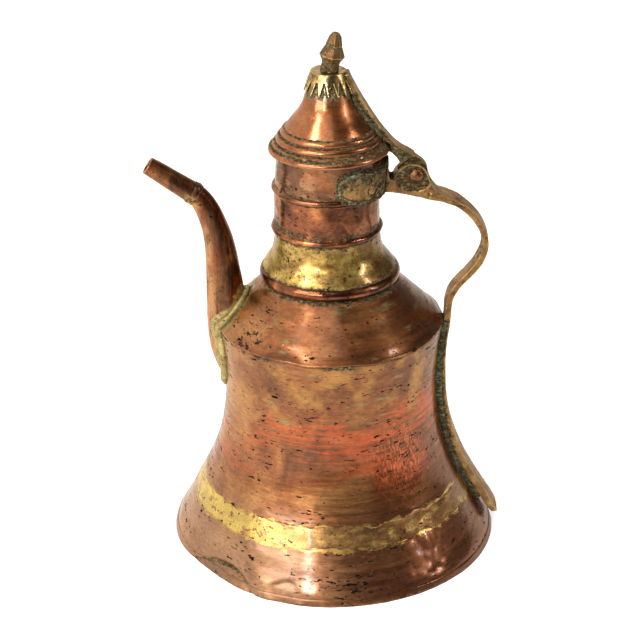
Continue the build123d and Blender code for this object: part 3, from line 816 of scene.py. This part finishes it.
# Each metal's name, its three tones from dark to light, and its colour where it's rubbed bare
METALS = {
    "copper_body": aged_metal(
        "beaten copper, body", ((98, 58, 32), (148, 90, 50), (186, 130, 76)), RAW_COPPER,
        cloud=34, grain=(9, 9, 0.6), grain_share=0.2, pits=0.3, dashes=1.0, gloss=(0.26, 0.44), coat=0.3,
        tarnish=0.08, beat=(11, 0.14), extra=body_colours),
    # The neck's hammered flats carry painted reflections.
    "copper_neck": aged_metal(
        "beaten copper, neck", ((98, 52, 28), (154, 88, 48), (216, 136, 78)), RAW_COPPER,
        cloud=14, grain=(5, 5, 0.8), grain_share=0.2, pits=1.1, dashes=0.3, gloss=(0.18, 0.34), coat=0.3,
        beat=(7, 0.35), facet_sheen=0.7, extra=neck_colours, shift=100),
    "copper_lid": aged_metal(
        "beaten copper, lid", ((128, 72, 38), (166, 98, 54), (190, 124, 74)), RAW_COPPER,
        cloud=20, grain=(4, 4, 1), grain_share=0.15, pits=0.15, gloss=(0.22, 0.36), coat=0.4, tarnish=0.05,
        beat=(10, 0.2), extra=lid_colours, shift=200),
    "copper_spout": aged_metal(
        "dark copper, spout", ((64, 36, 20), (108, 66, 36), (156, 102, 58)), RAW_COPPER,
        cloud=12, grain=(1, 1, 7), grain_share=0.5, pits=0.9, gloss=(0.26, 0.44), coat=0.2, tarnish=0.1,
        beat=(9, 0.10), extra=spout_colours, shift=300),
    "brass_seam": aged_metal(
        "brass, foot seam", ((128, 96, 56), (172, 138, 76), (216, 182, 98)), RAW_BRASS,
        cloud=14, grain=(2, 2, 1), pits=1.0, dashes=0.4, gloss=(0.28, 0.46), coat=0.3, tarnish=0.15,
        beat=(7, 0.16), extra=seam_colours, shift=400),
    # The collar's hammered flats carry painted reflections.
    "brass_collar": aged_metal(
        "brass, collar", ((112, 82, 42), (196, 158, 78), (244, 216, 124)), RAW_BRASS,
        cloud=9, grain=(2, 2, 1), grain_share=0.5, pits=1.15, gloss=(0.26, 0.42), coat=0.3, tarnish=0.15,
        beat=(8, 0.3), facet_sheen=0.3, extra=collar_colours, shift=500),
    "brass_fittings": aged_metal(
        "cast brass, fittings", ((92, 66, 40), (152, 112, 66), (190, 148, 90)), RAW_BRASS,
        cloud=10, grain=(1, 1, 1), pits=1.0, gloss=(0.36, 0.55), coat=0.0, tarnish=0.35, beat=(6, 0.10),
        extra=fitting_colours, shift=600),
    "brass_crown": aged_metal(
        "gilt brass, crown", ((84, 64, 40), (164, 132, 78), (232, 204, 132)), RAW_BRASS,
        cloud=8, grain=(1, 1, 2), pits=1.0, gloss=(0.2, 0.36), coat=0.4, beat=(5, 0.10), shift=700),
    "solder": aged_metal(
        "old solder", ((112, 96, 58), (168, 148, 90), (204, 188, 126)), PALE_CRUST,
        cloud=8, grain=(1, 1, 1), pits=0.9, gloss=(0.45, 0.62), coat=0.0, tarnish=0.4, beat=(3, 0.12),
        shift=800),
}


# ---- Pieces ------------------------------------------------------------------

def wear(piece, dirt, rub=1.0):
    """Marks a piece's grooves, rubbed edges, dirty and tinned places, and how green its dirt is."""
    height = piece.points[:, 2]
    flush = np.minimum(np.abs(height - SEAM_LOW), np.abs(height - SEAM_HIGH)) < 3.5
    piece.mark("hollow", np.where(flush, 0, piece.hollow(5) / 0.10))
    piece.mark("edge", np.where(flush, 0, rub * (-piece.hollow(3) / 0.35 - 0.25)))
    piece.mark("dirt", dirt)
    piece.mark("green", piece.green + np.zeros(len(piece.points)))
    piece.mark("tinned", piece.tinned + np.zeros(len(piece.points)))


def swelled(points, outward):
    """The points moved out from the pot's axis by some millimetres each."""
    factor = 1 + outward / from_axis(points)
    return points * np.stack([factor, factor, np.ones(len(points))], axis=1)


def flush_foot(points):
    """The bell's lower edge swelled out level with the hem that is folded up round it."""
    radius = from_axis(points)
    low = climb(points[:, 2], HEM_TOP + 12, HEM_TOP + 0.5)
    return swelled(points, low * climb(radius, 60, 70))


def turned_piece(node, body, slot, step=1.1, beaten=0.12, mark=9, near=(), reach=3.0, soil=None,
                 ease=0.35):
    """A beaten sheet piece that runs round the pot's axis. step is its squares' size, beaten and mark
    are its hammer marks' depth and size, and it's dirty within reach of the nodes it's near."""
    piece = Piece(node, turned_shape(node, step, ease), green=0.1)
    dirt = touching(piece.points, near, reach) if near else np.zeros(len(piece.points))
    if soil:
        dirt = np.maximum(dirt, soil(piece))
    if node == "foot_skirt":
        piece.move(flush_foot)
    marks = dishes(piece.points, mark, 1) - 0.4
    piece.push(beaten * marks + 0.05 * waves(piece.points, 4, 4, 2))
    if node == "lid_cone":
        piece.move(lid_hollow)
    if body == "pot":
        piece.move(pot_bend)
    wear(piece, dirt)
    return piece.done(body, slot)


def cast_piece(node, body, slot, voxel=0.5, smoothing=3, rough=0.10, size=3.0, near=(), reach=2.5,
               swell=0.0, shape=None, green=0.2):
    """A cast, drawn or soldered piece with an uneven skin: rough and size are its bumps' height and
    size. shape works on it and gives its dirt."""
    piece = Piece(node, cast_shape(node, voxel, smoothing), green)
    dirt = touching(piece.points, near, reach) if near else np.zeros(len(piece.points))
    piece.push(swell + rough * waves(piece.points, size, 1, 3))
    if shape:
        dirt = np.maximum(dirt, shape(piece))
    if body == "pot":
        piece.move(pot_bend)
    wear(piece, dirt, rub=0.5)
    return piece.done(body, slot)


def foot_crease_darkening(piece):
    """A dark line along the crease of the foot's fold, and darker round its lowest edge."""
    x, y, z = piece.points.T
    azimuth = np.arctan2(y, x)
    along = bump(from_fold(azimuth), FOLD_WIDTH * 1.2)
    crease = 0.9 * along * bump(z - crease_height(azimuth), 1.0)
    return np.maximum(crease, 0.45 * climb(z, 2.2, 0.6))


def lid_hollow(points):
    """The cove between the lid's lowest roll and its lip."""
    radius = from_axis(points)
    return swelled(points, -bump(points[:, 2] - LID_COVE, 1.3) * climb(radius, 26, 28))


def lid_dirt(piece):
    """Old dirt in the lid's grooves."""
    height = piece.points[:, 2]
    radius = from_axis(piece.points)
    found = np.zeros(len(height))
    for groove, width in LID_GROOVES:
        found = np.maximum(found, bump(height - groove, width))
    return found * climb(radius, 20, 21)


def hinge_cheeks(piece):
    """A sunk, dirty field round the pin on each cheek, inside a raised rim, and dirt under the bow."""
    x, y, z = piece.points.T
    rim = piece.spread(np.clip((-piece.hollow(2) - 0.3) / 0.3, 0, 1), 6)
    from_pin = np.hypot(x - PIN[0] + 1.5, (z - PIN[2] + 1.5) * 1.2)
    on_cheek = (np.abs(y) > PIN_HALF_LENGTH - 2.2) * (np.abs(piece.normals[:, 1]) > 0.7)
    inside = climb(from_pin, 9.5, 8.0) * climb(rim, 0.25, 0.08)
    sunk = piece.spread(on_cheek * inside, 2)
    piece.push(-0.8 * sunk + 0.35 * sunk * waves(piece.points, 1.8, 77, 2))
    facing = piece.normals[:, 0] * (BOW_X - x) + piece.normals[:, 2] * (BOW_Z - z)
    underside = climb(x, 60, 66) * climb(z, 150, 162) * climb(facing, 6, 24)
    return np.maximum(1.2 * sunk, 0.55 * underside)


def finial_dirt(piece):
    """A dirty stem under a knob that is a little dirty all over."""
    height = piece.points[:, 2] - FINIAL[0][2]
    tall = FINIAL[1][2] - FINIAL[0][2]
    return np.maximum(0.62 * climb(height, 0.40 * tall, 0.30 * tall), 0.36)


def strap_sides(piece):
    """Dirt down the sides and under the lid's strap."""
    below = climb(-piece.normals[:, 0] - piece.normals[:, 2], 0.1, 0.5)
    on_side = climb(np.abs(piece.normals[:, 1]), 0.5, 0.85)
    by_knuckle = climb(piece.points[:, 0], 25, 31) * on_side
    return 0.95 * np.maximum(below, by_knuckle)


def crusted_all_over(piece):
    """Dirt on every part of a piece."""
    return np.ones(len(piece.points))


def clasp_border(piece):
    """A raised, crusted border round the clasp's leaves."""
    rim = piece.spread(np.clip((-piece.hollow(2) - 0.2) / 0.2, 0, 1), 9)
    outward = (piece.normals[:, :2] * piece.points[:, :2]).sum(1) / from_axis(piece.points)
    border = climb(rim, 0.03, 0.12) * (outward > 0.1)
    piece.push(0.5 * piece.spread(border, 2) * (1 + 0.8 * waves(piece.points, 1.6, 83, 2)))
    by_hinge = 0.75 * climb(piece.points[:, 0], CLASP[1][0] - 14, CLASP[1][0] - 5)
    low_patch = bump(piece.points[:, 2] - CLASP[0][2] - 6, 3)
    field = 0.66 - 0.6 * low_patch + 0.25 * waves(piece.points, 5, 85, 2)
    piece.green = 0.12 + 0.88 * border * climb(piece.points[:, 0], CLASP[0][0] + 12, CLASP[0][0] + 4)
    return np.maximum(np.maximum(1.1 * border, 0.7 * (outward < 0.3)), np.maximum(by_hinge, field))


BODY_NEAR = ("spout_foot_braze", "tail_solder")
for node, slot, step, ease, near in (
    ("base_plate", "copper_body", 1.3, 0.35, ()),
    ("foot_skirt", "copper_body", 0.9, 0.03, BODY_NEAR),
    ("foot_seam_braze", "brass_seam", 1.0, 0.03, ("tail_solder",)),
    ("body_wall", "copper_body", 1.1, 0.03, BODY_NEAR),
    ("shoulder", "copper_body", 1.0, 0.35, ("spout_foot_braze", "collar_ring", "tail_solder")),
):
    turned_piece(node, "pot", slot, step=step, ease=ease, beaten=0.2, mark=13, near=near, reach=4.5,
                 soil=foot_crease_darkening)

turned_piece("collar_ring", "pot", "copper_neck", step=0.7, beaten=0.06, mark=5)
turned_piece("collar", "pot", "brass_collar", step=0.8, beaten=0.3, mark=8, near=("collar_ring", "neck"),
             reach=2.0)
turned_piece("neck", "pot", "copper_neck", step=0.7, beaten=0.55, near=("neck_clasp", "collar"))
turned_piece("lid_cone", "lid", "copper_lid", step=0.45, beaten=0.10, near=("lid_crown", "lid_strap"),
             soil=lid_dirt)
turned_piece("lid_sleeve", "lid", "copper_lid", step=0.8, beaten=0.08, mark=7)
turned_piece("finial_washer", "lid", "brass_fittings", step=0.3, beaten=0.03, mark=3)

cast_piece("spout_stem", "pot", "copper_spout", voxel=0.65, smoothing=6, size=9, near=("spout_foot_braze",))
cast_piece("spout_tip", "pot", "copper_spout", voxel=0.4, smoothing=4, rough=0.08, size=6)
cast_piece("spout_tip_braze", "pot", "copper_spout", voxel=0.3, smoothing=10, rough=0.12, size=2.5,
           swell=-0.4)
cast_piece("spout_foot_braze", "pot", "solder", voxel=0.4, rough=0.25, size=5, swell=1.1, green=0.3)
cast_piece("handle", "pot", "brass_fittings", voxel=0.45, smoothing=4, rough=0.12, size=5,
           near=("tail_solder", "neck_clasp"), shape=hinge_cheeks, green=0.03)
cast_piece("tail_solder", "pot", "solder", voxel=0.4, rough=0.16, size=3.5, swell=0.45,
           shape=crusted_all_over, green=0.3)
cast_piece("neck_clasp", "pot", "brass_fittings", voxel=0.35, shape=clasp_border)
cast_piece("clasp_rivets", "pot", "brass_fittings", voxel=0.2, rough=0.05, size=1.5, near=("neck_clasp",),
           reach=1.2)
cast_piece("hinge_pin", "pot", "copper_spout", voxel=0.22, rough=0.08, size=1.8, near=("handle",), reach=0.8)
cast_piece("lid_strap", "lid", "brass_fittings", voxel=0.35, size=4, near=("strap_solder",),
           shape=strap_sides, green=0.08)
cast_piece("strap_solder", "lid", "solder", voxel=0.3, rough=0.25, size=2.5, shape=crusted_all_over)
cast_piece("lid_crown", "lid", "brass_crown", voxel=0.27, smoothing=2, rough=0.07, size=2.5,
           near=("lid_cone",), reach=0.7, green=0.5)
cast_piece("finial", "lid", "brass_fittings", voxel=0.22, smoothing=2, rough=0.06, size=2,
           shape=finial_dirt)


# ---- Floor, light and camera -------------------------------------------------

def run_along(tree, place, heading, low, high, start, end):
    """A shader number that runs from start to end, as the place goes from low to high on a heading."""
    along = tree.nodes.new("ShaderNodeVectorMath")
    along.operation = "DOT_PRODUCT"
    along.inputs[1].default_value = heading
    tree.links.new(tree.nodes.new("ShaderNodeTexCoord").outputs[place], along.inputs[0])
    ramp = tree.nodes.new("ShaderNodeMapRange")
    ramp.interpolation_type = "SMOOTHSTEP"
    for name, value in (("From Min", low), ("From Max", high), ("To Min", start), ("To Max", end)):
        ramp.inputs[name].default_value = value
    tree.links.new(along.outputs["Value"], ramp.inputs["Value"])
    return ramp.outputs[0]


def floor():
    """A pale floor that fills the view, its colour painted darker towards the room's dim side at the right
    front as painted shade, and glowing on its other side as painted light.
    """
    half = 3.0
    corners = [(-half, -half, 0), (half, -half, 0), (half, half, 0), (-half, half, 0)]
    mesh = bpy.data.meshes.new("floor")
    mesh.from_pydata(corners, [], [(0, 1, 2, 3)])
    mesh.update()
    piece = bpy.data.objects.new("floor", mesh)
    bpy.context.scene.collection.objects.link(piece)
    paint = bpy.data.materials.new("pale floor")
    paint.use_nodes = True
    shader = paint.node_tree.nodes["Principled BSDF"]
    shader.inputs["Roughness"].default_value = 0.9
    shader.inputs["Specular IOR Level"].default_value = 0.1
    shader.inputs["Emission Color"].default_value = (1, 1, 1, 1)
    # Painted shade and painted light: the floor's colour darkens and its glow fades towards the right front.
    for name, near, far in (("Base Color", 0.86, 0.36), ("Emission Strength", 0.45, 0.0)):
        tone = run_along(paint.node_tree, "Object", (0.6, -0.8, 0), 0.14, 0.62, near, far)
        paint.node_tree.links.new(tone, shader.inputs[name])
    mesh.materials.append(paint)


def studio_world():
    """White walls behind the pot and on its left, and a dimmer room in front and on its right."""
    world = bpy.data.worlds.new("studio")
    world.use_nodes = True
    bpy.context.scene.world = world
    back = world.node_tree.nodes["Background"]
    back.inputs["Color"].default_value = (1.0, 0.975, 0.935, 1)
    strength = run_along(world.node_tree, "Generated", (-0.84, 0.53, 0.1), -0.35, 0.65, 0.1, 1.2)
    world.node_tree.links.new(strength, back.inputs["Strength"])


def soft_box(name, azimuth, elevation, distance, width, height, power):
    """A soft light, aimed at the pot's middle, seen from it at that azimuth and elevation."""
    target = Vector((0, 0, 0.13))
    a, e = radians(azimuth), radians(elevation)
    direction = Vector((cos(a) * cos(e), sin(a) * cos(e), sin(e)))
    light = bpy.data.lights.new(name, "AREA")
    light.shape = "RECTANGLE"
    light.size, light.size_y = width, height
    light.energy = power
    lamp = bpy.data.objects.new(name, light)
    lamp.location = target + direction * distance
    lamp.rotation_euler = direction.to_track_quat("Z", "Y").to_euler()
    bpy.context.scene.collection.objects.link(lamp)


CAMERA_ELEVATION = radians(25.57)
CAMERA_DISTANCE = 1.1
CAMERA_ROLL = radians(-0.70)
CAMERA_AIM = Vector((-0.0056, 0, 0.1222))
CAMERA_LENS = 117.45


def camera():
    """The camera, looking a little down at the pot's front with the spout on its left."""
    data = bpy.data.cameras.new("camera")
    data.sensor_width = 36
    data.lens = CAMERA_LENS
    back = Vector((0, -cos(CAMERA_ELEVATION), sin(CAMERA_ELEVATION)))
    across = Vector((1, 0, 0))
    upward = back.cross(across)
    right = across * cos(CAMERA_ROLL) + upward * sin(CAMERA_ROLL)
    up = upward * cos(CAMERA_ROLL) - across * sin(CAMERA_ROLL)
    eye = bpy.data.objects.new("camera", data)
    eye.matrix_world = Matrix.Translation(CAMERA_AIM + back * CAMERA_DISTANCE) @ Matrix(
        (right, up, back)).transposed().to_4x4()
    bpy.context.scene.collection.objects.link(eye)
    bpy.context.scene.camera = eye


floor()
studio_world()
for name, azimuth, elevation, distance, width, height, power in (
    ("key", -136, 47, 1.3, 0.25, 0.4, 5.5),
    ("window", -134, 20, 1.3, 0.7, 0.4, 6.5),
    ("front", -100, 56, 1.4, 0.7, 0.6, 2),
    ("streak", -110, 24, 1.3, 0.05, 0.35, 5.5),
    ("side", -15, 27, 1.2, 0.04, 0.6, 5),
):
    soft_box(name, azimuth, elevation, distance, width, height, power)
camera()
bpy.context.scene.view_settings.view_transform = "Standard"
